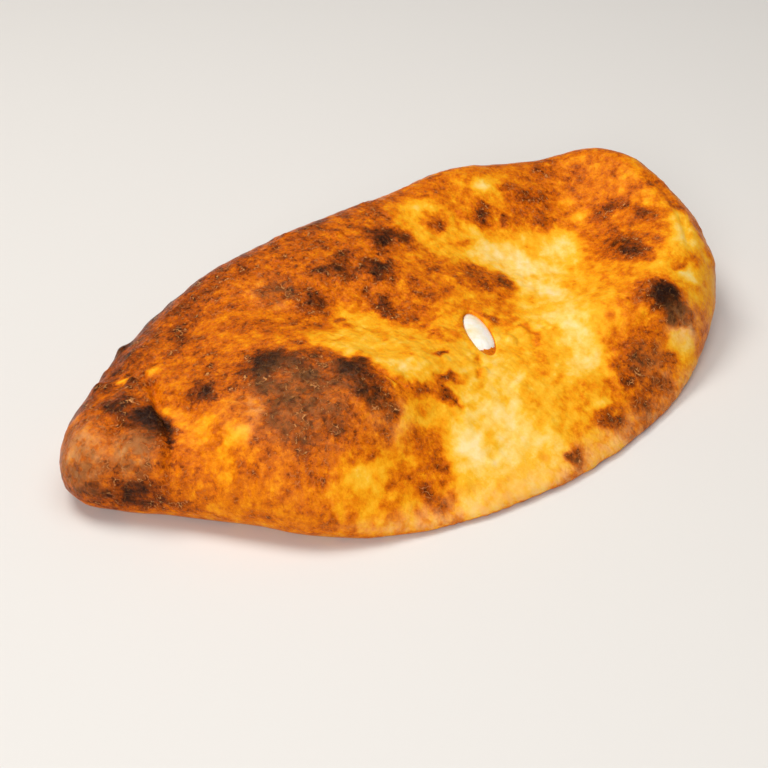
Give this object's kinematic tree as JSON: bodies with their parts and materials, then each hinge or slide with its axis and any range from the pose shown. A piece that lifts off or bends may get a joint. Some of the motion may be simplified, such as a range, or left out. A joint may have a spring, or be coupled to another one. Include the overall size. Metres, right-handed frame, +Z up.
{
  "type": "calzone",
  "caption": "Baked half-moon calzone with a blistered golden crust, a tucked corner and an open steam vent showing white cheese.",
  "frame": {"origin": "centre of the bounding box on the resting face", "axes": "+X along the calzone from the tucked corner to the broad end, -Y towards the sealed front edge, +Z up"},
  "size_m": [0.2802, 0.1555, 0.0466],
  "materials": {
    "crust": "satin",
    "cheese": "satin"
  },
  "bodies": {
    "root": {"crust": "crust", "cheese_filling": "cheese"}
  },
  "joints": []
}
